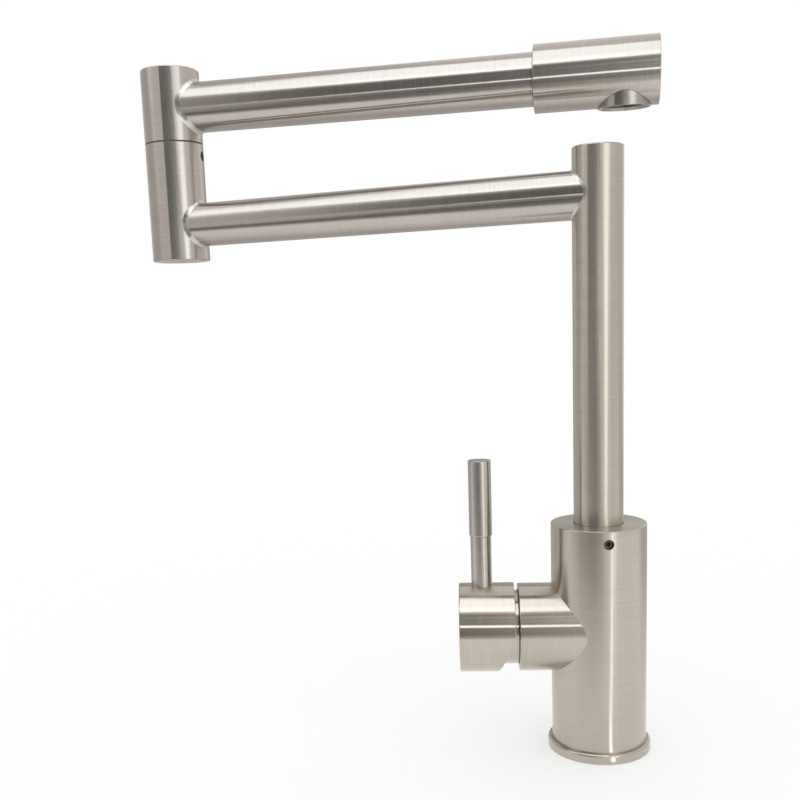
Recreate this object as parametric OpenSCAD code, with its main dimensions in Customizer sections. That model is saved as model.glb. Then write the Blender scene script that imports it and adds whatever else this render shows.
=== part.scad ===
// Folding kitchen mixer tap: a deck-mounted body with a side lever, a swivelling riser,
// and two spout arms joined by a swivel elbow, shown folded back over the riser.
// Origin: centre of the flange's underside, on the worktop. +Z is up, the lever side is -X.

/* [Base] */
// How far the flange on the worktop stands out around the body
flange_out = 2.2; // [1.8:0.1:6]
// Height of the flange
flange_h = 5; // [4:0.5:8]
// Rounding of the flange's upper edge
flange_round = 1.4; // [0.5:0.1:2]
// Thickness of the rubber gasket let into the flange's underside
gasket_h = 1.2; // [0.8:0.1:2]
// Width of that gasket, across the ring
gasket_w = 2.4; // [1.8:0.1:2.6]

/* [Body] */
// Outer diameter of the upright body
body_d = 48.5; // [46:0.5:54]
// Height of the body's top above the worktop
body_top_z = 120; // [116:1:140]
// Wall of the body around the valve core
body_wall = 3; // [2.5:0.1:4]
// Rounding of the body's upper edge
body_round = 0.5; // [0.3:0.1:1]
// Height of the riser's bearing in the body's solid top
bearing_h = 34; // [30:0.5:36]

/* [Inlets in the core] */
// Thread core diameter of the M8 hole for the fixing stud
stud_hole_d = 6.7; // [6.4:0.1:7]
// Depth of the hole for the fixing stud
stud_hole_depth = 16; // [12:1:20]
// Thread core diameter of the two M10 x 1 hose inlets
inlet_hole_d = 9; // [8.8:0.1:9.2]
// Depth of each hose inlet's thread
inlet_hole_depth = 13; // [10:1:16]
// Distance between the centres of the two hose inlets
inlet_pitch = 26; // [24:0.5:28]
// Diameter of the upright water ways above the hose inlets
way_d = 6.4; // [5.6:0.2:6.6]

/* [Valve pod] */
// Height of the pod's axis above the worktop
pod_z = 64.9; // [63:0.1:66]
// Outer diameter of the pod that holds the cartridge
pod_d = 45.5; // [44:0.1:46]
// Distance of the pod's mouth from the body's axis
pod_reach = 41.6; // [41.4:0.1:46]
// Diameter of the cartridge
cartridge_d = 35; // [34:0.5:36]
// Distance of the cartridge's seat from the body's axis
cartridge_seat = 16.5; // [15:0.5:16.5]
// Outer diameter of the retaining nut in the pod's mouth
nut_d = 39.2; // [38:0.2:40]
// Bore of the retaining nut, around the cartridge's turning neck
nut_bore_d = 25.6; // [25:0.2:27]
// Outer diameter of the cover over the nut, seen below the knob
cover_d = 38.2; // [36:0.2:38.6]
// How far the cover stands out of the pod's mouth
cover_out = 8.5; // [8:0.1:9]

/* [Knob and lever] */
// Outer diameter of the knob
knob_d = 46.3; // [45.5:0.1:48]
// Gap between the pod's mouth and the knob
knob_gap = 2; // [1.6:0.1:2.4]
// Length of the knob
knob_len = 28.6; // [27:0.1:34]
// Rounding of the knob's outer edge
knob_round = 0.6; // [0.3:0.1:1.5]
// Angle of the relief cut under the knob, which lets it tilt this far
relief_angle = 23; // [23:1:27]
// Distance of the lever's axis from the knob's outer end
lever_inset = 12; // [11:0.5:13]
// Diameter of the lever's lower rod
rod_d = 10.7; // [9:0.1:11]
// Diameter of the lever's upper grip
grip_d = 11.8; // [11:0.1:13]
// Height of the grip's foot above the pod's axis
grip_foot = 49.1; // [45:0.1:60]
// Length of the grip
grip_len = 39.4; // [30:0.1:60]

/* [Riser] */
// Outer diameter of the riser
riser_d = 25; // [24:0.5:26]
// Wall of the riser and of the spout arms
tube_wall = 1.5; // [1.2:0.1:2]
// Height of the riser's top above the worktop
riser_top_z = 305; // [300:1:320]
// Bore of the turned spindle at the riser's foot
spindle_bore_d = 14; // [12:0.5:15]

/* [Lower arm] */
// Outer diameter of the lower spout arm
lower_arm_d = 23.7; // [22:0.1:24]
// Drop of the lower arm's axis below the riser's top
lower_arm_drop = 22.2; // [19:0.1:40]
// Distance between the riser's axis and the elbow's axis
lower_arm_len = 237.5; // [150:0.5:260]
// Turn of the lower arm away from the lever side, as stored
spout_turn = 16.5; // [-90:0.5:90]

/* [Elbow] */
// Outer diameter of the elbow
elbow_d = 32.2; // [30.4:0.2:34]
// Bore of the elbow's two halves
elbow_bore_d = 23; // [22.4:0.2:23.4]
// Drop of the elbow's lower end below the lower arm's axis
elbow_foot_drop = 19.6; // [18:0.1:27]
// Height of the elbow's joint above the lower arm's axis
elbow_joint_rise = 44.6; // [40:0.2:50]
// Gap between the elbow's halves, filled by a thrust washer
elbow_gap = 0.9; // [0.6:0.1:1.5]
// Height of the elbow's upper end above its joint
upper_elbow_h = 39.6; // [38:0.2:46]
// Thickness of the plates that close the elbow's two ends
end_plate_h = 2; // [1.5:0.1:2.5]
// Rounding of the elbow's and the riser's outer ends
end_round = 0.7; // [0.3:0.1:1]

/* [Upper arm and nozzle] */
// Outer diameter of the upper spout arm
upper_arm_d = 26.8; // [25:0.1:27]
// Height of the upper arm's axis above the elbow's joint
upper_arm_rise = 19.3; // [18:0.1:21]
// Turn of the upper arm from the lever side's line, as stored
fold_turn = 7; // [-90:0.5:90]
// Distance of the nozzle's rear end from the elbow's axis
nozzle_start = 202; // [140:1:220]
// Outer diameter of the nozzle
nozzle_d = 33.8; // [32:0.2:36]
// Length of the nozzle
nozzle_len = 63; // [58:1:80]
// Wall of the nozzle
nozzle_wall = 2; // [1.5:0.1:2.5]
// Distance of the outlet's axis from the nozzle's front end
outlet_inset = 17.3; // [16.5:0.1:24]
// Turn of the nozzle about its arm, so that the outlet points slightly to the back
outlet_roll = 4.5; // [0:0.5:10]
// Outer diameter of the outlet collar
outlet_d = 27; // [25.6:0.2:27.6]
// How far the outlet's rim stands out below the nozzle
outlet_out = 0.5; // [0.3:0.1:3]
// Core diameter of the collar's M24 x 1 aerator thread
outlet_bore_d = 23.4; // [23:0.1:23.6]

/* [Screws] */
// Diameter of the grub screws that hold the riser and the elbow
grub_d = 5.2; // [5:0.1:6]
// Distance of the body's grub screw below the body's top
body_grub_drop = 6.6; // [6:0.1:8]
// Turn of the body's grub screw from the front, towards the side away from the lever
body_grub_turn = 5; // [-20:1:20]
// Distance of the elbow's grub screw below the elbow's joint
elbow_grub_drop = 6.8; // [6.4:0.1:8]
// Turn of the elbow's grub screw from the lower arm's line
elbow_grub_turn = 13; // [0:1:60]

/* [Hidden] */
$fn = 96;
// Clearances
weld_gap = 0.02;
seat_gap = 0.1;
run_gap = 0.05;
move_gap = 0.35;
cut = 1;

// Radii that several pieces share
body_r = body_d / 2;
core_r = body_r - body_wall;
riser_r = riser_d / 2;
riser_bore_r = riser_r - tube_wall;
bearing_r = riser_r + move_gap;
elbow_r = elbow_d / 2;
elbow_bore_r = elbow_bore_d / 2;
spindle_r = elbow_bore_r - move_gap;
grub_r = grub_d / 2;
knob_r = knob_d / 2;
cover_r = cover_d / 2;

// Sliding rings and sealing rings of the two swivels
ring_w = 1.8;
ring_h = 3.2;
ring_edge = 1;
seal_t = 2.4;
seal_pitch = 5;
washer_h = 1.5;
groove_depth = 1.2;
tip_d = 3.2;
tip_play = 0.5;
screw_sink = 2.6;
socket_depth = 3;

// Riser swivel, from the core upward
bearing_floor_z = body_top_z - bearing_h;
spindle_foot_z = bearing_floor_z + washer_h + move_gap;
body_grub_z = body_top_z - body_grub_drop;
riser_foot_z = body_top_z - 2;
low_ring_z = spindle_foot_z + ring_edge;
top_ring_z = body_top_z - ring_edge - ring_h;
riser_seal_z = low_ring_z + ring_h + 4;
riser_neck_h = 14;

// Heights of the arms and the elbow
lower_arm_z = riser_top_z - lower_arm_drop;
elbow_foot_z = lower_arm_z - elbow_foot_drop;
elbow_joint_z = lower_arm_z + elbow_joint_rise;
elbow_top_z = elbow_joint_z + upper_elbow_h;
upper_arm_z = elbow_joint_z + upper_arm_rise;

// Elbow swivel, from the joint downward
lower_half_top_z = elbow_joint_z - elbow_gap / 2;
upper_half_foot_z = elbow_joint_z + elbow_gap / 2;
elbow_grub_z = elbow_joint_z - elbow_grub_drop;
elbow_spindle_foot_z = lower_arm_z + lower_arm_d / 2 + 1.5;
elbow_low_ring_z = elbow_spindle_foot_z + ring_edge;
elbow_top_ring_z = lower_half_top_z - ring_edge / 2 - ring_h;
elbow_seal_z = elbow_low_ring_z + ring_h + 3;
spindle_neck_top_z = upper_arm_z - upper_arm_d / 2 - 0.5;
elbow_spindle_bore_r = 7;
cap_plug_h = 4;

// Knob, measured along the pod's axis from the body's axis; it tilts about its inner end's centre
knob_u = pod_reach + knob_gap;
knob_end_u = knob_u + knob_len;
pivot_u = knob_u;

// Cartridge, measured the same way
housing_r = cartridge_d / 2;
housing_wall = 2;
housing_base = 6;
fixed_disc_h = 3.5;
fixed_disc_u = cartridge_seat + housing_base;
control_disc_u = fixed_disc_u + fixed_disc_h + run_gap;
control_disc_h = 5;
control_disc_r = 12.4;
control_flat = 10;
control_start = -2.7;
mixing_r = 5.6;
mixing_depth = 1;
ball_r = 2.2;
ball_u = control_disc_u + control_disc_h - 0.75;
socket_half = ball_r + move_gap;
socket_floor_u = ball_u - ball_r - 0.2;
finger_r = 1.7;
carrier_u = control_disc_u + control_disc_h + 0.8;
carrier_flange_h = 3.4;
rail_w = 2;
rail_l = 10;
neck_r = nut_bore_d / 2 - move_gap;
nut_u = carrier_u + carrier_flange_h + move_gap;
nut_flange_u = pod_reach - 0.6;
boss_r = cover_r - 2.2;
boss_u = pod_reach + 5;
cover_u = pod_reach + 0.4;
cover_end_u = pod_reach + cover_out;
cover_front = 1.8;
cover_hole_r = 10;
neck_end_u = cover_end_u - cover_front - move_gap;
pin_r = 1.5;
stem_w = 8;
stem_waist = 6;
stem_step_u = neck_end_u + 2.6;
neck_slot_w = stem_waist + 2 * move_gap;
neck_slot_h = 2 * ((pivot_u - ball_u) * sin(relief_angle) + ball_r + move_gap);

// Ports of the cartridge, in the pod's frame: x is up, y runs across
port_r = 2.2;
inlet_port_x = 5.75;
inlet_port_y = 4.8;
outlet_port_x = -3.2;
seal_ring_w = 1.4;
seal_ring_h = 1.2;
way_x = 4;
way_y = 8.3;
rising_way_r = 2.5;
mixed_room_z = pod_z + inlet_port_x + port_r + 4;

// Inside of the knob, and the lever
cavity_r = sqrt(pow(cover_end_u - pivot_u, 2) + pow(cover_r, 2)) + 0.6;
knob_boss_r = 7.5;
knob_boss_u = cover_end_u + 4.7;
stem_end_u = knob_end_u - 4;
set_screw_u = knob_end_u - 6;
set_screw_r = 2.5;
set_screw_len = 12;
lever_u = knob_end_u - lever_inset;
rod_r = rod_d / 2;
rod_seat = sqrt(pow(cavity_r, 2) - pow(lever_u - rod_r - pivot_u, 2)) + 1;
grip_r = grip_d / 2;
grip_pin_r = 3;
grip_pin_h = 16;

// Places of the elbow and the outlet
elbow_x = -lower_arm_len * cos(spout_turn);
elbow_y = lower_arm_len * sin(spout_turn);
nozzle_end = nozzle_start + nozzle_len;
outlet_at = nozzle_end - outlet_inset;
outlet_r = outlet_d / 2;
outlet_bore_r = outlet_bore_d / 2;
nozzle_r = nozzle_d / 2;
rear_wall = 3;
front_wall = 2.5;
outlet_drop = nozzle_r + outlet_out;
collar_top = 2 - sqrt(max(0, pow(nozzle_r - nozzle_wall, 2) - pow(outlet_r, 2)));
rim_bevel = outlet_r - outlet_bore_r - 0.6;
aerator_in = rim_bevel;
aerator_lip = 1;
aerator_h = 8.4;
aerator_wall = 1.6;
aerator_washer_h = 1.5;

// Frames: each puts its children's +Z along the named piece, from its start
module along_pod() translate([0, 0, pod_z]) rotate([0, -90, 0]) children();
module along_lower_arm()
    translate([0, 0, lower_arm_z]) rotate([0, 0, -spout_turn]) rotate([0, -90, 0]) children();
module at_elbow() translate([elbow_x, elbow_y, 0]) children();
module along_upper_arm()
    at_elbow() translate([0, 0, upper_arm_z]) rotate([0, 0, -fold_turn]) rotate([0, 90, 0]) children();
module at_outlet()
    at_elbow() translate([0, 0, upper_arm_z]) rotate([0, 0, -fold_turn])
    translate([outlet_at, 0, 0]) rotate([outlet_roll, 0, 0]) children();
module at_body_grub()
    translate([0, 0, body_grub_z]) rotate([0, 0, body_grub_turn]) rotate([90, 0, 0]) children();
module at_elbow_grub()
    at_elbow() translate([0, 0, elbow_grub_z]) rotate([0, 0, elbow_grub_turn - spout_turn])
    rotate([0, 90, 0]) children();

// A round bar on the Z axis with rounded outer edges
module bar(r, h, top = 0, foot = 0) {
    rotate_extrude() {
        translate([0, foot]) square([r, h - top - foot]);
        if (top > 0) {
            square([r - top, h]);
            translate([r - top, h - top]) intersection() {
                circle(top);
                square(top);
            }
        }
        if (foot > 0) {
            square([r - foot, foot + cut / 2]);
            translate([r - foot, foot]) intersection() {
                circle(foot);
                translate([0, -foot]) square(foot);
            }
        }
    }
}

// A plain ring on the Z axis
module ring(outer_r, inner_r, h) {
    difference() {
        cylinder(r = outer_r, h = h);
        translate([0, 0, -cut]) cylinder(r = inner_r, h = h + 2 * cut);
    }
}

// A sealing ring of round section whose outside just clears outer_r
module seal(outer_r, t) {
    rotate_extrude() translate([outer_r - t / 2, 0]) circle(d = t);
}

// A grub screw along +Z: tip at tip_at, full thread from thread_at to head_at
module grub_screw(tip_at, thread_at, head_at) {
    difference() {
        union() {
            translate([0, 0, tip_at]) cylinder(d = tip_d, h = thread_at - tip_at + cut / 2);
            translate([0, 0, thread_at]) cylinder(r = grub_r - seat_gap, h = head_at - thread_at);
        }
        translate([0, 0, head_at - socket_depth])
            cylinder(d = grub_d * 0.58, h = socket_depth + cut, $fn = 6);
    }
}

// The cartridge's two inlet ports and its outlet port, in the pod's frame
module inlet_ports(r, h) {
    for (side = [-1, 1]) translate([inlet_port_x, side * inlet_port_y, 0]) cylinder(r = r, h = h);
}
module outlet_port(r, h) {
    translate([outlet_port_x, 0, 0]) cylinder(r = r, h = h);
}
module ports(r, h) {
    inlet_ports(r, h);
    outlet_port(r, h);
}

// Base

module base_flange() {
    color("#b4aca2") difference() {
        bar(body_r + flange_out, flange_h, flange_round);
        translate([0, 0, -cut]) cylinder(r = core_r + seat_gap, h = flange_h + 2 * cut);
        translate([0, 0, -cut]) ring(core_r + cut + gasket_w, core_r + cut, cut + gasket_h);
    }
}

module deck_gasket() {
    color("#2b2b2d")
        ring(core_r + cut + gasket_w - seat_gap, core_r + cut + seat_gap, gasket_h - seat_gap);
}

// Body

module body() {
    color("#b9b1a7") difference() {
        union() {
            translate([0, 0, flange_h]) bar(body_r, body_top_z - flange_h, body_round);
            along_pod() bar(pod_d / 2, pod_reach, body_round);
        }
        translate([0, 0, flange_h - cut]) cylinder(r = core_r, h = bearing_floor_z - flange_h + cut);
        cylinder(r = bearing_r, h = body_top_z + cut);
        for (z = [low_ring_z, top_ring_z]) translate([0, 0, z]) cylinder(r = riser_r + ring_w, h = ring_h);
        along_pod() {
            translate([0, 0, cartridge_seat])
                cylinder(r = housing_r + seat_gap, h = pod_reach - cartridge_seat + cut);
            translate([0, 0, nut_u - seat_gap])
                cylinder(r = nut_d / 2 + seat_gap, h = pod_reach - nut_u + cut);
        }
        at_body_grub() cylinder(r = grub_r, h = body_d);
    }
}

module valve_core() {
    color("#b08d4f") difference() {
        cylinder(r = core_r - seat_gap, h = bearing_floor_z);
        along_pod() {
            translate([0, 0, cartridge_seat]) cylinder(r = housing_r + seat_gap + cut, h = body_r);
            translate([0, 0, way_x]) inlet_ports(port_r, cartridge_seat);
            outlet_port(port_r, cartridge_seat + cut);
        }
        translate([0, 0, -cut]) cylinder(d = stud_hole_d, h = stud_hole_depth + cut);
        for (side = [-1, 1]) {
            translate([0, side * inlet_pitch / 2, -cut])
                cylinder(d = inlet_hole_d, h = inlet_hole_depth + cut);
            translate([-way_x, side * way_y, inlet_hole_depth - 2])
                cylinder(d = way_d, h = pod_z + inlet_port_x + port_r + cut - inlet_hole_depth + 2);
        }
        translate([0, 0, pod_z + outlet_port_x - port_r - cut])
            cylinder(r = rising_way_r, h = bearing_floor_z);
        translate([0, 0, mixed_room_z]) cylinder(d = spindle_bore_d, h = bearing_floor_z);
    }
}

module body_grub_screw() {
    tip_at = riser_r - groove_depth + tip_play;
    color("#3a3a3c") at_body_grub() grub_screw(tip_at, bearing_r + seat_gap, body_r - screw_sink);
}

module riser_slide_rings() {
    color("#e8e4da") for (z = [low_ring_z, top_ring_z])
        translate([0, 0, z + seat_gap])
            ring(riser_r + ring_w - seat_gap, riser_r + run_gap, ring_h - 2 * seat_gap);
}

module riser_thrust_washer() {
    color("#e8e4da") translate([0, 0, bearing_floor_z])
        ring(bearing_r - seat_gap, spindle_bore_d / 2 + seat_gap, washer_h);
}

// Cartridge

module cartridge_seals() {
    color("#1f1f21") along_pod() translate([0, 0, cartridge_seat]) difference() {
        ports(port_r + seal_ring_w, seal_ring_h);
        translate([0, 0, -cut]) ports(port_r + seat_gap, seal_ring_h + 2 * cut);
    }
}

module cartridge_housing() {
    color("#d9d6cc") along_pod() difference() {
        translate([0, 0, cartridge_seat]) cylinder(r = housing_r, h = nut_u - cartridge_seat);
        translate([0, 0, fixed_disc_u]) cylinder(r = housing_r - housing_wall, h = nut_u);
        translate([0, 0, cartridge_seat - cut]) ports(port_r, housing_base + 2 * cut);
        translate([0, 0, cartridge_seat - cut])
            ports(port_r + seal_ring_w + seat_gap, cut + seal_ring_h + seat_gap);
    }
}

module fixed_disc() {
    color("#efece4") along_pod() difference() {
        translate([0, 0, fixed_disc_u]) cylinder(r = housing_r - housing_wall - seat_gap, h = fixed_disc_h);
        translate([0, 0, fixed_disc_u - cut]) ports(port_r, fixed_disc_h + 2 * cut);
    }
}

module cartridge_nut() {
    color("#b08d4f") along_pod() difference() {
        union() {
            translate([0, 0, nut_u]) cylinder(r = nut_d / 2, h = nut_flange_u - nut_u);
            translate([0, 0, nut_u]) cylinder(r = boss_r, h = boss_u - nut_u);
        }
        translate([0, 0, nut_u - cut]) cylinder(d = nut_bore_d, h = boss_u - nut_u + 2 * cut);
    }
}

module cartridge_cover() {
    color("#bdb6aa") along_pod() difference() {
        translate([0, 0, cover_u]) bar(cover_r, cover_end_u - cover_u, 0.4);
        translate([0, 0, cover_u - cut])
            cylinder(r = boss_r + seat_gap, h = cover_end_u - cover_front - cover_u + cut);
        translate([0, 0, cover_u]) cylinder(r = cover_hole_r, h = cover_out + cut);
    }
}

module cartridge_carrier() {
    rail_foot_u = control_disc_u + 0.5;
    rail_y = control_flat + move_gap + rail_w / 2;
    color("#7f8a92") along_pod() difference() {
        union() {
            translate([0, 0, carrier_u])
                cylinder(r = housing_r - housing_wall - move_gap, h = carrier_flange_h);
            translate([0, 0, carrier_u]) cylinder(r = neck_r, h = neck_end_u - carrier_u);
            for (side = [-1, 1]) translate([-rail_l / 2, side * rail_y - rail_w / 2, rail_foot_u])
                cube([rail_l, rail_w, carrier_u - rail_foot_u + cut]);
        }
        translate([-neck_slot_h / 2, -neck_slot_w / 2, carrier_u - cut])
            cube([neck_slot_h, neck_slot_w, neck_end_u - carrier_u + 2 * cut]);
        translate([0, 0, pivot_u]) rotate([90, 0, 0])
            cylinder(r = pin_r, h = 2 * neck_r + 2 * cut, center = true);
    }
}

module pivot_pin() {
    color("#c9c9cb") along_pod() translate([0, 0, pivot_u]) rotate([90, 0, 0])
        cylinder(r = pin_r - weld_gap, h = 2 * neck_r - 1, center = true);
}

module control_disc() {
    color("#cfd3d6") along_pod() translate([control_start, 0, 0]) difference() {
        intersection() {
            translate([0, 0, control_disc_u]) cylinder(r = control_disc_r, h = control_disc_h);
            translate([-control_disc_r, -control_flat, control_disc_u])
                cube([2 * control_disc_r, 2 * control_flat, control_disc_h]);
        }
        translate([0, 0, control_disc_u - cut]) cylinder(r = mixing_r, h = mixing_depth + cut);
        translate([-control_start - socket_half, -socket_half, socket_floor_u])
            cube([2 * socket_half, 2 * socket_half, control_disc_h]);
    }
}

// Knob and lever

module cartridge_stem() {
    color("#c4c2bd") along_pod() difference() {
        union() {
            translate([0, 0, ball_u]) sphere(r = ball_r);
            translate([0, 0, ball_u]) cylinder(r = finger_r, h = pivot_u - ball_u);
            translate([-stem_waist / 2, -stem_waist / 2, pivot_u - stem_waist / 2])
                cube([stem_waist, stem_waist, stem_step_u - pivot_u + stem_waist / 2 + cut]);
            translate([-stem_w / 2, -stem_w / 2, stem_step_u])
                cube([stem_w, stem_w, stem_end_u - stem_step_u - seat_gap]);
        }
        translate([0, 0, pivot_u]) rotate([90, 0, 0])
            cylinder(r = pin_r + run_gap, h = stem_w + 2 * cut, center = true);
    }
}

module knob() {
    side = 2 * knob_d;
    socket_w = stem_w + 2 * seat_gap;
    color("#b9b1a7") along_pod() difference() {
        translate([0, 0, knob_u]) bar(knob_r, knob_len, knob_round, 0.3);
        difference() {
            translate([0, 0, pivot_u]) sphere(r = cavity_r);
            translate([0, 0, knob_boss_u]) cylinder(r = knob_boss_r, h = knob_len);
        }
        translate([0, 0, pivot_u]) rotate([0, relief_angle, 0])
            translate([-side, -side / 2, -side]) cube([2 * side, side, side]);
        translate([-socket_w / 2, -socket_w / 2, pivot_u]) cube([socket_w, socket_w, stem_end_u - pivot_u]);
        translate([rod_seat, 0, lever_u]) rotate([0, 90, 0]) cylinder(r = rod_r + weld_gap, h = knob_r);
        translate([0, 0, set_screw_u]) rotate([0, -90, 0]) cylinder(r = set_screw_r, h = knob_d);
    }
}

module knob_set_screw() {
    color("#3a3a3c") along_pod() translate([0, 0, set_screw_u]) rotate([0, -90, 0]) difference() {
        translate([0, 0, stem_w / 2]) cylinder(r = set_screw_r - seat_gap, h = set_screw_len);
        translate([0, 0, stem_w / 2 + set_screw_len - socket_depth])
            cylinder(d = 3, h = socket_depth + cut, $fn = 6);
    }
}

module lever_rod() {
    color("#b9b1a7") translate([-lever_u, 0, pod_z]) {
        translate([0, 0, rod_seat]) bar(rod_r, grip_foot - rod_seat, 0.4);
        translate([0, 0, grip_foot - cut]) cylinder(r = grip_pin_r, h = grip_pin_h + cut);
    }
}

module lever_grip() {
    color("#b9b1a7") translate([-lever_u, 0, pod_z + grip_foot]) difference() {
        bar(grip_r, grip_len, 0.3, 0.7);
        translate([0, 0, -cut]) cylinder(r = grip_pin_r + weld_gap, h = grip_pin_h + cut + seat_gap);
    }
}

// Riser and lower arm

module riser_spindle() {
    color("#a9a7a2") difference() {
        union() {
            translate([0, 0, spindle_foot_z]) cylinder(r = riser_r, h = riser_foot_z - spindle_foot_z);
            translate([0, 0, riser_foot_z]) cylinder(r = riser_bore_r - weld_gap, h = riser_neck_h);
        }
        translate([0, 0, spindle_foot_z - cut])
            cylinder(d = spindle_bore_d, h = riser_foot_z + riser_neck_h);
        translate([0, 0, body_grub_z - tip_d / 2 - tip_play])
            ring(riser_r + cut, riser_r - groove_depth, tip_d + 2 * tip_play);
        for (i = [0, 1]) translate([0, 0, riser_seal_z + i * seal_pitch - seal_t / 2 - seat_gap])
            ring(riser_r + cut, bearing_r - run_gap - seal_t - seat_gap, seal_t + 2 * seat_gap);
    }
}

module riser_seals() {
    color("#1f1f21") for (i = [0, 1])
        translate([0, 0, riser_seal_z + i * seal_pitch]) seal(bearing_r - run_gap, seal_t);
}

module riser_tube() {
    color("#b9b1a7") difference() {
        translate([0, 0, riser_foot_z]) bar(riser_r, riser_top_z - riser_foot_z, end_round);
        translate([0, 0, riser_foot_z - cut])
            cylinder(r = riser_bore_r, h = riser_top_z - riser_foot_z + 2 * cut);
        along_lower_arm() cylinder(r = lower_arm_d / 2 - tube_wall, h = riser_d);
    }
}

module riser_cap() {
    color("#b4aca2") translate([0, 0, riser_top_z - cap_plug_h])
        cylinder(r = riser_bore_r - weld_gap, h = cap_plug_h);
}

module lower_arm() {
    color("#b9b1a7") difference() {
        along_lower_arm() difference() {
            cylinder(d = lower_arm_d, h = lower_arm_len);
            translate([0, 0, -cut]) cylinder(r = lower_arm_d / 2 - tube_wall, h = lower_arm_len + 2 * cut);
        }
        translate([0, 0, lower_arm_z - lower_arm_d]) cylinder(r = riser_r + weld_gap, h = 2 * lower_arm_d);
        at_elbow() translate([0, 0, lower_arm_z - lower_arm_d])
            cylinder(r = elbow_r + weld_gap, h = 2 * lower_arm_d);
    }
}

// Elbow

module lower_elbow() {
    color("#b9b1a7") difference() {
        at_elbow() difference() {
            translate([0, 0, elbow_foot_z + end_plate_h])
                cylinder(r = elbow_r, h = lower_half_top_z - elbow_foot_z - end_plate_h);
            translate([0, 0, elbow_foot_z]) cylinder(r = elbow_bore_r, h = elbow_top_z - elbow_foot_z);
            for (z = [elbow_low_ring_z, elbow_top_ring_z])
                translate([0, 0, z]) cylinder(r = spindle_r + ring_w, h = ring_h);
        }
        along_lower_arm() cylinder(r = lower_arm_d / 2 - tube_wall, h = lower_arm_len);
        at_elbow_grub() cylinder(r = grub_r, h = elbow_d);
    }
}

module lower_elbow_cap() {
    color("#c6bfb4") at_elbow() translate([0, 0, elbow_foot_z]) {
        bar(elbow_r, end_plate_h, 0, end_round);
        cylinder(r = elbow_bore_r - weld_gap, h = cap_plug_h);
    }
}

module elbow_slide_rings() {
    color("#e8e4da") at_elbow() for (z = [elbow_low_ring_z, elbow_top_ring_z])
        translate([0, 0, z + seat_gap])
            ring(spindle_r + ring_w - seat_gap, spindle_r + run_gap, ring_h - 2 * seat_gap);
}

module elbow_grub_screw() {
    tip_at = spindle_r - groove_depth + tip_play;
    color("#3a3a3c") at_elbow_grub() grub_screw(tip_at, elbow_bore_r + seat_gap, elbow_r - 1);
}

module elbow_thrust_washer() {
    color("#2b2b2d") at_elbow() translate([0, 0, lower_half_top_z])
        ring(elbow_r - 0.6, spindle_r + move_gap, elbow_gap - 2 * run_gap);
}

module elbow_spindle() {
    color("#a9a7a2") at_elbow() difference() {
        union() {
            translate([0, 0, elbow_spindle_foot_z])
                cylinder(r = spindle_r, h = upper_half_foot_z - elbow_spindle_foot_z);
            translate([0, 0, upper_half_foot_z])
                cylinder(r = elbow_bore_r - weld_gap, h = spindle_neck_top_z - upper_half_foot_z);
        }
        translate([0, 0, elbow_spindle_foot_z - cut])
            cylinder(r = elbow_spindle_bore_r, h = elbow_top_z - elbow_spindle_foot_z);
        translate([0, 0, elbow_grub_z - tip_d / 2 - tip_play])
            ring(spindle_r + cut, spindle_r - groove_depth, tip_d + 2 * tip_play);
        for (i = [0, 1]) translate([0, 0, elbow_seal_z + i * seal_pitch - seal_t / 2 - seat_gap])
            ring(spindle_r + cut, elbow_bore_r - run_gap - seal_t - seat_gap, seal_t + 2 * seat_gap);
    }
}

module elbow_seals() {
    color("#1f1f21") at_elbow() for (i = [0, 1])
        translate([0, 0, elbow_seal_z + i * seal_pitch]) seal(elbow_bore_r - run_gap, seal_t);
}

module upper_elbow() {
    color("#b9b1a7") difference() {
        at_elbow() translate([0, 0, upper_half_foot_z])
            ring(elbow_r, elbow_bore_r, elbow_top_z - end_plate_h - upper_half_foot_z);
        along_upper_arm() cylinder(r = upper_arm_d / 2 - tube_wall, h = elbow_d);
    }
}

module upper_elbow_cap() {
    color("#c6bfb4") at_elbow() {
        translate([0, 0, elbow_top_z - end_plate_h]) bar(elbow_r, end_plate_h, end_round);
        translate([0, 0, elbow_top_z - cap_plug_h]) cylinder(r = elbow_bore_r - weld_gap, h = cap_plug_h / 2);
    }
}

// Upper arm and nozzle

module upper_arm() {
    color("#b9b1a7") difference() {
        along_upper_arm() difference() {
            cylinder(d = upper_arm_d, h = nozzle_start + rear_wall);
            translate([0, 0, -cut])
                cylinder(r = upper_arm_d / 2 - tube_wall, h = nozzle_start + rear_wall + 2 * cut);
        }
        at_elbow() translate([0, 0, upper_arm_z - upper_arm_d])
            cylinder(r = elbow_r + weld_gap, h = 2 * upper_arm_d);
    }
}

module nozzle() {
    color("#b9b1a7") difference() {
        along_upper_arm() translate([0, 0, nozzle_start]) difference() {
            bar(nozzle_r, nozzle_len, 0.3, 0.4);
            translate([0, 0, -cut]) cylinder(r = upper_arm_d / 2 + weld_gap, h = rear_wall + 2 * cut);
            translate([0, 0, rear_wall]) cylinder(r = nozzle_r - nozzle_wall, h = nozzle_len);
        }
        at_outlet() translate([0, 0, -nozzle_d]) cylinder(r = outlet_r + weld_gap, h = nozzle_d);
    }
}

module nozzle_cap() {
    color("#b4aca2") along_upper_arm() translate([0, 0, nozzle_end - front_wall])
        cylinder(r = nozzle_r - nozzle_wall - weld_gap, h = front_wall);
}

module outlet_collar() {
    thread_top = aerator_in + aerator_h + aerator_washer_h + seat_gap;
    color("#b9b1a7") at_outlet() translate([0, 0, -outlet_drop]) difference() {
        bar(outlet_r, outlet_drop + collar_top, 0, 0.4);
        translate([0, 0, -cut]) cylinder(r = outlet_bore_r, h = thread_top + cut);
        cylinder(r = outlet_bore_r - 2.5, h = outlet_drop);
        translate([0, 0, -cut])
            cylinder(r1 = outlet_bore_r + rim_bevel + cut, r2 = outlet_bore_r, h = rim_bevel + cut);
    }
}

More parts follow.
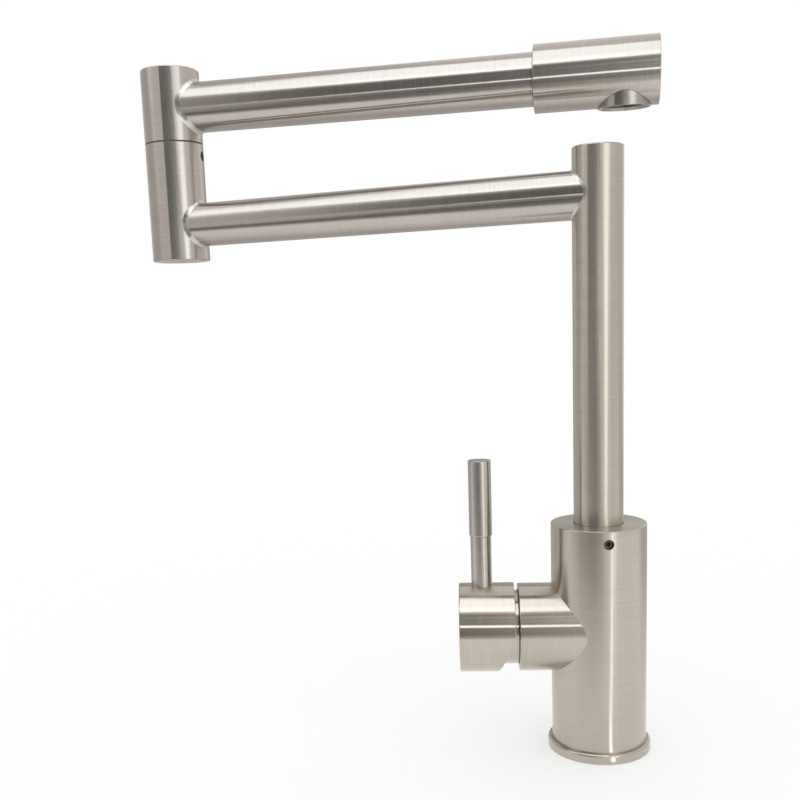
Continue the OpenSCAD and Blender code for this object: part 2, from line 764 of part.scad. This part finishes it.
module aerator_housing() {
    color("#c9c9cb") at_outlet() translate([0, 0, -outlet_drop + aerator_in]) {
        ring(outlet_bore_r - weld_gap, outlet_bore_r - aerator_wall, aerator_h);
        ring(outlet_bore_r - weld_gap, outlet_bore_r - aerator_wall - 1, aerator_lip);
    }
}

module aerator_insert() {
    insert_r = outlet_bore_r - aerator_wall - seat_gap;
    color("#55585c") at_outlet() translate([0, 0, -outlet_drop + aerator_in + aerator_lip]) difference() {
        cylinder(r = insert_r, h = aerator_h - aerator_lip);
        for (row = [1, 2, 3], i = [0 : row * 6 - 1])
            rotate([0, 0, i * 60 / row]) translate([row * insert_r / 3.8, 0, -cut])
                cylinder(d = 1.2, h = aerator_h + cut);
    }
}

module aerator_washer() {
    color("#1f1f21") at_outlet() translate([0, 0, -outlet_drop + aerator_in + aerator_h])
        ring(outlet_bore_r - seat_gap, outlet_bore_r - 3, aerator_washer_h);
}

base_flange();
deck_gasket();
body();
valve_core();
body_grub_screw();
riser_slide_rings();
riser_thrust_washer();
cartridge_seals();
cartridge_housing();
fixed_disc();
cartridge_nut();
cartridge_cover();
cartridge_carrier();
pivot_pin();
control_disc();
cartridge_stem();
knob();
knob_set_screw();
lever_rod();
lever_grip();
riser_spindle();
riser_seals();
riser_tube();
riser_cap();
lower_arm();
lower_elbow();
lower_elbow_cap();
elbow_slide_rings();
elbow_grub_screw();
elbow_thrust_washer();
elbow_spindle();
elbow_seals();
upper_elbow();
upper_elbow_cap();
upper_arm();
nozzle();
nozzle_cap();
outlet_collar();
aerator_housing();
aerator_insert();
aerator_washer();
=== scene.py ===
import math
import bpy
import mathutils.noise
from mathutils import Matrix, Vector


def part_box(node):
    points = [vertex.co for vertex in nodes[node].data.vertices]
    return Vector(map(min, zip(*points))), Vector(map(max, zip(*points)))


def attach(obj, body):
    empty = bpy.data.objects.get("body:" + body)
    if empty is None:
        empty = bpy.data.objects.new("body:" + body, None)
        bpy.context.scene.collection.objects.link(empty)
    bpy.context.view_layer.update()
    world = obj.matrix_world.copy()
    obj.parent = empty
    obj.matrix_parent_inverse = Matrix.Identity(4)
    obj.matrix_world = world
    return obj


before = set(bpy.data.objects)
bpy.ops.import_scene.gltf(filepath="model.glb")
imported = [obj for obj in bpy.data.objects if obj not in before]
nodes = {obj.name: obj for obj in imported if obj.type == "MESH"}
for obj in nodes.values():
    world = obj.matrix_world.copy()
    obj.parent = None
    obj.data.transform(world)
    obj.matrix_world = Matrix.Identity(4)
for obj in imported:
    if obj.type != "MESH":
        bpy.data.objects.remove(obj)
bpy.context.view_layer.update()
scene = bpy.context.scene
MM = 0.001

# Sizes shared with the CAD source, in millimetres and radians
RISER_R, BODY_R, ELBOW_R = 12.5, 24.25, 16.1
LOWER_R, LOWER_Z, LOWER_LEN, SPOUT_TURN = 11.85, 282.8, 237.5, math.radians(16.5)
UPPER_R, UPPER_Z, FOLD_TURN = 13.4, 346.7, math.radians(7.0)
NOZZLE_R, NOZZLE_START = 16.9, 202.0
OUTLET_R, OUTLET_AT, OUTLET_ROLL = 13.5, 247.7, math.radians(4.5)
POD_Z = 64.9

UP = Vector((0.0, 0.0, 1.0))
FOOT = Vector((0.0, 0.0, 0.0))
POD_DIR = Vector((-1.0, 0.0, 0.0))
POD_AT = UP * POD_Z
LOWER_DIR = Vector((-math.cos(SPOUT_TURN), math.sin(SPOUT_TURN), 0.0))
UPPER_DIR = Vector((math.cos(FOLD_TURN), -math.sin(FOLD_TURN), 0.0))
ELBOW = Vector((-LOWER_LEN * math.cos(SPOUT_TURN), LOWER_LEN * math.sin(SPOUT_TURN), 0.0))
LOWER_END = ELBOW + UP * LOWER_Z
UPPER_END = ELBOW + UP * UPPER_Z
OUTLET_POS = UPPER_END + UPPER_DIR * OUTLET_AT
OUTLET_DIR = Matrix.Rotation(OUTLET_ROLL, 3, UPPER_DIR) @ -UP
ROD_LOW, ROD_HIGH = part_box('lever_rod')
LEVER_AT = (Vector(ROD_LOW) + Vector(ROD_HIGH)) / 2 / MM

# The photograph's camera, in pixels of its 800 x 800 image, millimetres and radians;
# the valve pod points 4.9 degrees away from it
IMAGE_PX, FOCAL_PX, CENTRE_X_PX, CENTRE_Y_PX = 800.0, 988.8, 390.3, 480.5
SENSOR_MM = 36.0
CAM_AT = Vector((-105.8, -496.1, 225.5))
CAM_PITCH, CAM_ROLL = 0.1602, -0.0358
turn = Matrix.Rotation(math.radians(4.909), 3, 'Z')


# Node helpers

def new_mat(name):
    m = bpy.data.materials.new(name)
    m.use_nodes = True
    m.node_tree.nodes.clear()
    return m, m.node_tree


def add(nt, kind, **values):
    n = nt.nodes.new(kind)
    for key, value in values.items():
        setattr(n, key, value)
    return n


def feed(nt, n, values):
    """Give a node's inputs, in turn, a link from a socket or a constant."""
    for i, v in enumerate(values):
        if isinstance(v, bpy.types.NodeSocket):
            nt.links.new(v, n.inputs[i])
        else:
            n.inputs[i].default_value = v


def vmath(nt, op, *values):
    n = add(nt, 'ShaderNodeVectorMath', operation=op)
    feed(nt, n, values)
    return n.outputs['Value' if op == 'DOT_PRODUCT' else 'Vector']


def maths(nt, op, *values):
    n = add(nt, 'ShaderNodeMath', operation=op)
    feed(nt, n, values)
    return n.outputs[0]


def pick(nt, choose, first, second):
    """The second vector where choose is 1, and otherwise the first."""
    m = add(nt, 'ShaderNodeMix', data_type='VECTOR')
    nt.links.new(choose, m.inputs[0])
    nt.links.new(first, m.inputs[4])
    nt.links.new(second, m.inputs[5])
    return m.outputs[1]


def noise(nt, vec, detail=2.0, rough=0.5, scale=1.0):
    n = add(nt, 'ShaderNodeTexNoise')
    n.inputs['Scale'].default_value = scale
    n.inputs['Detail'].default_value = detail
    n.inputs['Roughness'].default_value = rough
    nt.links.new(vec, n.inputs['Vector'])
    return n.outputs['Fac']


def ramp(nt, fac, low, low_color, high, high_color):
    """Two colours, at two levels of fac."""
    r = add(nt, 'ShaderNodeValToRGB')
    stops = ((low, low_color), (high, high_color))
    for element, (position, color) in zip(r.color_ramp.elements, stops):
        element.position = position
        element.color = (*color, 1.0)
    nt.links.new(fac, r.inputs['Fac'])
    return r.outputs['Color']


def remap(nt, fac, from_min, from_max, to_min, to_max):
    r = add(nt, 'ShaderNodeMapRange')
    nt.links.new(fac, r.inputs['Value'])
    r.inputs['From Min'].default_value = from_min
    r.inputs['From Max'].default_value = from_max
    r.inputs['To Min'].default_value = to_min
    r.inputs['To Max'].default_value = to_max
    return r.outputs['Result']


def grainy(nt, p, grain, rough, spread, bump, distance):
    """Roughness and bump of a Principled shader from one grain."""
    nt.links.new(remap(nt, grain, 0.25, 0.75, rough * (1 - spread), rough * (1 + spread)),
                 p.inputs['Roughness'])
    b = add(nt, 'ShaderNodeBump')
    b.inputs['Strength'].default_value = bump
    b.inputs['Distance'].default_value = distance
    nt.links.new(grain, b.inputs['Height'])
    nt.links.new(b.outputs[0], p.inputs['Normal'])


def shade(c, k):
    return tuple(min(1.0, v * k) for v in c)


def across(axis):
    """Two unit vectors at right angles to axis."""
    a = axis.cross(UP) if abs(axis.z) < 0.9 else Vector((1, 0, 0))
    a.normalize()
    return a, axis.cross(a)


# Materials

# Colours of the spout's steel, and of the warmer steel below it
STEEL = (0.527, 0.49, 0.452)
STEEL_LOW = (0.531, 0.49, 0.425)

# Cells per metre along and round the brushing's rings
FINE_ALONG, FINE_AROUND = 2600.0, 55.0
COARSE_ALONG, COARSE_AROUND = 900.0, 40.0
CLOUD = 30.0
# How far the rings run on, per distance from the axis, over a flat end
END_RUN = 0.77


def turned(nt, centre, axis):
    """Ring coordinates round an axis, the direction across the brushing, and the radius."""
    tc = add(nt, 'ShaderNodeTexCoord')
    rel = vmath(nt, 'SUBTRACT', tc.outputs['Object'], centre * MM)
    a, b = across(axis)
    pa, pb, along = (vmath(nt, 'DOT_PRODUCT', rel, v) for v in (a, b, axis))
    square_b = maths(nt, 'MULTIPLY', pb, pb)
    radius = maths(nt, 'SQRT', maths(nt, 'MULTIPLY_ADD', pa, pa, square_b))
    run = maths(nt, 'MULTIPLY_ADD', radius, END_RUN, along)
    coords = add(nt, 'ShaderNodeCombineXYZ')
    feed(nt, coords, (pa, pb, run))
    ring = vmath(nt, 'CROSS_PRODUCT', axis, rel)
    return coords.outputs[0], vmath(nt, 'CROSS_PRODUCT', ring, tc.outputs['Normal']), radius


def steel(name, centre, axis, seed, rough=0.2, second=None, color=STEEL):
    """Stainless steel brushed in fine rings round an axis, its sheen drawn out across them.

    second is a radius, and the centre and axis of the rings outside it.
    """
    m, nt = new_mat(name)
    out = add(nt, 'ShaderNodeOutputMaterial')
    p = add(nt, 'ShaderNodeBsdfPrincipled')
    nt.links.new(p.outputs[0], out.inputs[0])
    p.inputs['Metallic'].default_value = 1.0
    p.inputs['Anisotropic'].default_value = 1.0
    coords, tangent, radius = turned(nt, centre, axis)
    if second:
        limit, centre2, axis2 = second
        coords2, tangent2, _ = turned(nt, centre2, axis2)
        outside = maths(nt, 'GREATER_THAN', radius, limit * MM)
        coords = pick(nt, outside, coords, coords2)
        tangent = pick(nt, outside, tangent, tangent2)

    def rings(along, around, shift, detail):
        s = seed + shift
        scale, offset = (around, around, along), (s, s * 1.7, s * 2.3)
        return noise(nt, vmath(nt, 'MULTIPLY_ADD', coords, scale, offset), detail, 0.6)

    fine = rings(FINE_ALONG, FINE_AROUND, 0.0, 4.0)
    coarse = rings(COARSE_ALONG, COARSE_AROUND, 4.0, 2.0)
    cloud = rings(CLOUD, CLOUD, 9.0, 2.0)
    half = maths(nt, 'MULTIPLY_ADD', coarse, 0.3, maths(nt, 'MULTIPLY', fine, 0.7))
    grain = ramp(nt, half, 0.34, shade(color, 0.945), 0.66, shade(color, 1.055))
    tone = ramp(nt, cloud, 0.3, (0.97, 0.965, 0.955), 0.7, (1.0, 1.0, 1.0))
    mul = add(nt, 'ShaderNodeMixRGB', blend_type='MULTIPLY')
    feed(nt, mul, (1.0, grain, tone))
    nt.links.new(mul.outputs[0], p.inputs['Base Color'])
    grainy(nt, p, half, rough, 0.05, 0.03, 0.00003)
    vt = add(nt, 'ShaderNodeVectorTransform', vector_type='VECTOR',
             convert_from='OBJECT', convert_to='WORLD')
    nt.links.new(tangent, vt.inputs[0])
    nt.links.new(vt.outputs[0], p.inputs['Tangent'])
    return m


def plain(name, color, rough, metallic=0.0, grain=0.08, bump=0.1):
    """A moulded or machined surface with a fine uneven finish."""
    m, nt = new_mat(name)
    out = add(nt, 'ShaderNodeOutputMaterial')
    p = add(nt, 'ShaderNodeBsdfPrincipled')
    nt.links.new(p.outputs[0], out.inputs[0])
    p.inputs['Metallic'].default_value = metallic
    tc = add(nt, 'ShaderNodeTexCoord')
    n = noise(nt, tc.outputs['Object'], 3.0, 0.55, 900.0)
    nt.links.new(ramp(nt, n, 0.3, shade(color, 1 - grain), 0.7, shade(color, 1 + grain)),
                 p.inputs['Base Color'])
    grainy(nt, p, n, rough, 0.15, bump, 0.00005)
    return m


steel_riser = steel('steel_riser', FOOT, UP, 1.0, rough=0.235, color=STEEL_LOW)
steel_body = steel('steel_body', FOOT, UP, 2.0, second=(BODY_R + 0.05, POD_AT, POD_DIR),
                   color=STEEL_LOW)
steel_flange = steel('steel_flange', FOOT, UP, 8.0, color=STEEL_LOW)
steel_elbow = steel('steel_elbow', ELBOW, UP, 9.0)
steel_pod = steel('steel_knob', POD_AT, POD_DIR, 3.0, color=shade(STEEL_LOW, 1.06))
steel_low = steel('steel_lower_arm', LOWER_END, LOWER_DIR, 4.0)
steel_top = steel('steel_upper_arm', UPPER_END, UPPER_DIR, 5.0)
steel_nozzle = steel('steel_nozzle', UPPER_END, UPPER_DIR, 6.0)
# The outlet collar's steel is four fifths as bright as the spout's: painted shade under the
# nozzle.
painted_shade_outlet_steel = steel('painted_shade_outlet_steel', OUTLET_POS, OUTLET_DIR, 10.0, color=shade(STEEL, 0.8))
steel_rod = steel('steel_lever', LEVER_AT, UP, 7.0)
steel_inner = plain('turned_steel', (0.42, 0.40, 0.37), 0.3, 1.0)
weld = plain('ground_weld', (0.64, 0.61, 0.57), 0.3, 1.0, 0.06, 0.3)
# A near-black steel for seam beads: painted shade in the joints round the outlet and at the
# nozzle's start.
painted_shade_steel = plain('painted_shade_seam', (0.15, 0.13, 0.115), 0.4, 1.0)
brass = plain('machined_brass', (0.30, 0.22, 0.12), 0.4, 1.0)
rubber = plain('black_rubber', (0.022, 0.022, 0.024), 0.7)
slide_white = plain('sliding_plastic', (0.78, 0.76, 0.70), 0.45)
grey_plastic = plain('cartridge_plastic', (0.22, 0.25, 0.28), 0.45)
ceramic = plain('lapped_ceramic', (0.86, 0.85, 0.80), 0.16)
screw_black = plain('blackened_screw', (0.13, 0.115, 0.10), 0.35, 1.0)
washer_grey = plain('elbow_washer', (0.14, 0.12, 0.105), 0.6)
chrome = plain('plated_ring', (0.62, 0.62, 0.62), 0.12, 1.0, 0.04)
aerator_grey = plain('aerator_plastic', (0.055, 0.06, 0.065), 0.5)

dress = (
    (steel_flange, ('base_flange',)),
    (steel_body, ('body',)),
    (steel_riser, ('riser_tube', 'riser_cap')),
    (steel_low, ('lower_arm',)),
    (steel_elbow, ('lower_elbow', 'lower_elbow_cap', 'upper_elbow', 'upper_elbow_cap')),
    (steel_top, ('upper_arm',)),
    (steel_nozzle, ('nozzle', 'nozzle_cap')),
    (painted_shade_outlet_steel, ('outlet_collar',)),
    (steel_pod, ('knob', 'cartridge_cover')),
    (steel_rod, ('lever_rod', 'lever_grip')),
    (steel_inner, ('pivot_pin', 'cartridge_stem', 'riser_spindle', 'elbow_spindle')),
    (brass, ('valve_core', 'cartridge_nut')),
    (rubber, ('deck_gasket', 'cartridge_seals', 'riser_seals', 'elbow_seals', 'aerator_washer')),
    (washer_grey, ('elbow_thrust_washer',)),
    (slide_white, ('riser_slide_rings', 'elbow_slide_rings', 'riser_thrust_washer')),
    (grey_plastic, ('cartridge_housing', 'cartridge_carrier')),
    (ceramic, ('fixed_disc', 'control_disc')),
    (screw_black, ('body_grub_screw', 'elbow_grub_screw', 'knob_set_screw')),
    (chrome, ('aerator_housing',)),
    (aerator_grey, ('aerator_insert',)),
)
for mat, names in dress:
    for name in names:
        nodes[name].data.materials.clear()
        nodes[name].data.materials.append(mat)


# Weld beads along the saddles, and seam beads coloured dark as painted shade

def mesh_object(name, verts, faces, mat):
    me = bpy.data.meshes.new(name)
    me.from_pydata([tuple(v * MM) for v in verts], [], faces)
    me.materials.append(mat)
    for f in me.polygons:
        f.use_smooth = True
    me.update()
    ob = bpy.data.objects.new(name, me)
    scene.collection.objects.link(ob)
    return ob


def round_strip(steps, rows):
    """The faces of a strip of rows that closes on itself after steps."""
    faces = []
    for i in range(steps):
        for j in range(rows):
            p, q = i * (rows + 1) + j, ((i + 1) % steps) * (rows + 1) + j
            faces.append((p, q, q + 1, p + 1))
    return faces


def wobble(q, per_mm):
    return mathutils.noise.noise(q * per_mm)


def off_axis(v, axis):
    return v - axis * v.dot(axis)


def saddle(name, bar, wall, size, mat, uneven=0.3, steps=240, rows=8, sink=0.05):
    """A concave bead where a round bar meets a round wall, on the side its axis points to.

    bar and wall are a point on the axis, the axis and the radius.
    """
    start, axis, r = bar
    wall_start, wall_axis, wall_r = wall
    a, b = across(axis)
    d = off_axis(axis, wall_axis)
    verts = []
    for i in range(steps):
        t = 2 * math.pi * i / steps
        n = a * math.cos(t) + b * math.sin(t)
        q = start + n * (r - sink)
        rel = off_axis(q - wall_start, wall_axis)
        aa, bb, cc = d.dot(d), 2 * rel.dot(d), rel.dot(rel) - (wall_r - sink) ** 2
        hit = q + axis * ((-bb + math.sqrt(max(0.0, bb * bb - 4 * aa * cc))) / (2 * aa))
        width = size * (1 + uneven * (wobble(hit, 0.3) + 0.5 * wobble(hit, 0.8)))
        on_bar = hit + axis * width
        wall_n = off_axis(hit - wall_start, wall_axis).normalized()
        away = off_axis(n, wall_n)
        if away.length < 1e-3:
            away = wall_axis * (1 if n.dot(wall_axis) > 0 else -1)
        w = hit + away.normalized() * width - wall_start
        h = wall_axis * w.dot(wall_axis)
        on_wall = wall_start + h + (w - h).normalized() * (wall_r - sink)
        for j in range(rows + 1):
            k = j / rows
            v = on_bar * (1 - k) ** 2 + hit * 2 * k * (1 - k) + on_wall * k * k
            lift = uneven * 0.5 * size * k * (1 - k) * (1 + 1.5 * wobble(v, 0.4))
            verts.append(v + (n + wall_n).normalized() * lift)
    return mesh_object(name, verts, round_strip(steps, rows), mat)


def ring_bead(name, centre, axis, r, size, mat, steps=96, rows=5, sink=0.03):
    """A concave bead where a round bar leaves a flat face; axis points out along the bar."""
    a, b = across(axis)
    verts = []
    for i in range(steps):
        t = 2 * math.pi * i / steps
        n = a * math.cos(t) + b * math.sin(t)
        for j in range(rows + 1):
            k = math.pi / 2 * j / rows
            out, up = size * (1 - math.sin(k)), size * (1 - math.cos(k))
            verts.append(centre + n * (r - sink + out) + axis * (up - sink))
    return mesh_object(name, verts, round_strip(steps, rows), mat)


riser_wall, elbow_wall = (FOOT, UP, RISER_R), (ELBOW, UP, ELBOW_R)
riser_bar = (UP * LOWER_Z, LOWER_DIR, LOWER_R)
lower_bar = (LOWER_END, -LOWER_DIR, LOWER_R)
upper_bar = (UPPER_END, UPPER_DIR, UPPER_R)
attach(saddle('weld_riser', riser_bar, riser_wall, 1.3, weld), 'lower_spout')
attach(saddle('weld_lower_elbow', lower_bar, elbow_wall, 2.0, weld), 'lower_spout')
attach(saddle('weld_upper_elbow', upper_bar, elbow_wall, 2.2, weld), 'upper_spout')
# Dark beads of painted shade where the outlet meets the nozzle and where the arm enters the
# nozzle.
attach(saddle('painted_shade_outlet_seam', (OUTLET_POS, OUTLET_DIR, OUTLET_R),
               (OUTLET_POS, UPPER_DIR, NOZZLE_R), 0.5, painted_shade_steel, 0.0), 'upper_spout')
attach(ring_bead('painted_shade_nozzle_seam', UPPER_END + UPPER_DIR * NOZZLE_START, -UPPER_DIR, UPPER_R, 0.6,
                  painted_shade_steel), 'upper_spout')


# Studio cards: plain glowing surfaces that only reflections see. They stand round the tap in
# millimetres, turned with the camera, and give the steel its bands.

COOL, WARM = (0.965, 1.0, 1.035, 1.0), (1.035, 1.0, 0.965, 1.0)
# Cards above this level are lamps and windows, with cooler light than lit walls
LAMP_LEVEL = 1.2
X, Y, Z = (1, 0, 0), (0, 1, 0), (0, 0, 1)
# The room: its sides, front, back, top and foot. Cards stand a little inside these.
FAR, FRONT, BACK, TOP, LOW = 1400, -600, 1000, 770, -1
TABLE = 0.4


def glow(name, level, fades):
    """One level, or the highest of the fades: direction, from, to, and the levels there."""
    m, nt = new_mat(name)
    out = add(nt, 'ShaderNodeOutputMaterial')
    e = add(nt, 'ShaderNodeEmission')
    e.inputs['Color'].default_value = COOL if level > LAMP_LEVEL else WARM
    e.inputs['Strength'].default_value = level
    tops = []
    for direction, start, end, first, last in fades:
        tc = add(nt, 'ShaderNodeTexCoord')
        along = vmath(nt, 'DOT_PRODUCT', tc.outputs['Object'], turn @ Vector(direction))
        tops.append(remap(nt, along, start * MM, end * MM, first, last))
    if tops:
        nt.links.new(tops[0] if len(tops) == 1 else maths(nt, 'MAXIMUM', *tops),
                     e.inputs['Strength'])
    nt.links.new(e.outputs[0], out.inputs[0])
    return m


def card(name, corners, level, *fades):
    verts = [turn @ Vector(c) for c in corners]
    ob = mesh_object(name, verts, [tuple(range(len(verts)))], glow(name + '_mat', level, fades))
    ob.visible_camera = False
    ob.visible_diffuse = False
    ob.visible_shadow = False
    ob.visible_transmission = False
    ob.visible_volume_scatter = False


def wall(name, y, outline, level, *fades):
    card(name, [(x, y, z) for x, z in outline], level, *fades)


def sheet(name, z, outline, level, *fades):
    card(name, [(x, y, z) for x, y in outline], level, *fades)


def square(u0, u1, v0, v1):
    return (u0, v0), (u1, v0), (u1, v1), (u0, v1)


# Ceiling, and the large soft lamp under it
sheet('ceiling', TOP, square(-FAR, FAR, FRONT, BACK), 0.6,
      (Y, -560, -500, 0.12, 0.62), (X, -250, -80, 0.3, 0.85))
sheet('softbox', TOP - 10,
      ((-FAR, -330), (-600, -360), (-350, -430), (-130, -490), (150, -510), (150, 10), (0, 25),
       (-60, 75), (-190, 120), (-330, 60), (-FAR, 60)),
      1.9, (Y, -330, -240, 2.2, 1.88))

# Front wall, dark at the left, and the pale panel in front of its left end
wall('front', FRONT, square(-FAR, -60, LOW, TOP), 0.15, (X, -300, -60, 0.1, 0.17))
wall('front_mid', FRONT, square(-60, 110, LOW, TOP), 0.7, (X, -45, 55, 0.15, 0.75))
wall('front_right', FRONT, square(110, FAR, LOW, TOP), 0.85,
     (X, 500, 900, 0.88, 0.7), (Z, 350, 600, 0.7, 1.0))
wall('panel_left', -271, square(-FAR, -425, 110, TOP), 0.68)

# Narrow lamps that draw a line along the arms, the pod and the knob
wall('line_near', FRONT + 10, ((-140, 250), (20, 203), (20, 247), (-140, 300)), 4.0)
wall('line_mid', FRONT + 10, ((-400, 240), (-140, 235), (-140, 278), (-400, 283)), 1.9,
     (X, -400, -140, 1.1, 2.7))
wall('haze', FRONT + 5, square(-FAR, -400, 60, 250), 0.37)
wall('line_far', FRONT + 10, ((-800, 115), (-400, 240), (-400, 283), (-800, 160)), 0.7)

# The window that lights the upright pieces
wall('window', FRONT + 12,
     ((205, LOW), (325, LOW), (335, 200), (480, 420), (640, 560), (660, 640), (390, 640),
      (330, 540), (75, 420), (200, 200)), 2.0)
wall('window_pane', FRONT + 12, square(-20, 110, 500, 600), 1.3)

# Side walls and back wall
for name, x, level in (('side_left', -FAR, 0.55), ('side_right', FAR, 0.75)):
    card(name, ((x, FRONT, LOW), (x, BACK, LOW), (x, BACK, TOP), (x, FRONT, TOP)), level)
wall('back', BACK, square(-FAR, FAR, LOW, TOP), 0.6,
     (X, -700, 0, 0.65, 0.4), (X, 0, 700, 0.4, 0.9))

# The table behind the tap and at its front edge, and the window's gleam on it
sheet('table_back', TABLE, square(-FAR, FAR, 35, BACK), 0.6, (Y, 40, 240, 0.93, 0.55))
sheet('table_edge', TABLE, square(-FAR, 90, FRONT, -150), 0.5,
      ((0.27, 1, 0), -410, -270, 0.2, 0.97), (X, -150, 80, 0.2, 0.95))
sheet('table_gleam', 2 * TABLE,
      ((1, -28), (4, -28), (20, -77), (152, -388), (235, -590), (205, -590), (122, -388),
       (13, -77)), 2.3)

# World and floor: even white light, and a white floor that takes the tap's shadow

world = bpy.data.worlds.new('studio')
scene.world = world
world.use_nodes = True
wt = world.node_tree
wt.nodes.clear()
w_out = add(wt, 'ShaderNodeOutputWorld')
w_bg = add(wt, 'ShaderNodeBackground')
w_bg.inputs['Color'].default_value = (1.0, 1.0, 1.0, 1.0)
w_bg.inputs['Strength'].default_value = 1.0
wt.links.new(w_bg.outputs[0], w_out.inputs[0])

# Where the floor is looked at, directly or in a reflection, just over half of it glows
FLOOR_GLOW = 0.55
FLOOR_HALF = 6000.0
floor_mat, ft = new_mat('white_floor')
f_out = add(ft, 'ShaderNodeOutputMaterial')
f_bsdf = add(ft, 'ShaderNodeBsdfPrincipled')
f_bsdf.inputs['Roughness'].default_value = 0.9
f_bsdf.inputs['Specular IOR Level'].default_value = 0.0
f_noise = noise(ft, add(ft, 'ShaderNodeTexCoord').outputs['Object'], scale=40.0)
ft.links.new(ramp(ft, f_noise, 0.3, (0.994, 0.994, 0.994), 0.7, (1.0, 1.0, 1.0)),
             f_bsdf.inputs['Base Color'])
f_seen = add(ft, 'ShaderNodeLightPath')
f_glow = add(ft, 'ShaderNodeEmission')
f_glow.inputs['Strength'].default_value = 1.0
f_mix = add(ft, 'ShaderNodeMixShader')
f_any = maths(ft, 'MAXIMUM', f_seen.outputs['Is Camera Ray'],
              maths(ft, 'MAXIMUM', f_seen.outputs['Is Glossy Ray'],
                    f_seen.outputs['Is Transmission Ray']))
feed(ft, f_mix, (maths(ft, 'MULTIPLY', f_any, FLOOR_GLOW), f_bsdf.outputs[0], f_glow.outputs[0]))
ft.links.new(f_mix.outputs[0], f_out.inputs[0])
corners = square(-FLOOR_HALF, FLOOR_HALF, -FLOOR_HALF, FLOOR_HALF)
mesh_object('floor', [Vector((x, y, 0)) for x, y in corners], [(0, 1, 2, 3)], floor_mat)

# Camera

cam_data = bpy.data.cameras.new('camera')
cam = bpy.data.objects.new('camera', cam_data)
scene.collection.objects.link(cam)
scene.camera = cam
cam_data.sensor_width = SENSOR_MM
cam_data.lens = SENSOR_MM * FOCAL_PX / IMAGE_PX
cam_data.shift_x = (IMAGE_PX / 2 - CENTRE_X_PX) / IMAGE_PX
cam_data.shift_y = (CENTRE_Y_PX - IMAGE_PX / 2) / IMAGE_PX
cam_data.clip_start = 0.01
cam_data.clip_end = 50.0
forward = Vector((0.0, math.cos(CAM_PITCH), -math.sin(CAM_PITCH)))
level_right = Vector((1.0, 0.0, 0.0))
level_up = level_right.cross(forward)
right = level_right * math.cos(CAM_ROLL) + level_up * math.sin(CAM_ROLL)
up = level_up * math.cos(CAM_ROLL) - level_right * math.sin(CAM_ROLL)
rotation = Matrix((turn @ right, turn @ up, turn @ -forward)).transposed()
cam.matrix_world = Matrix.Translation(turn @ CAM_AT * MM) @ rotation.to_4x4()

scene.view_settings.view_transform = 'Standard'
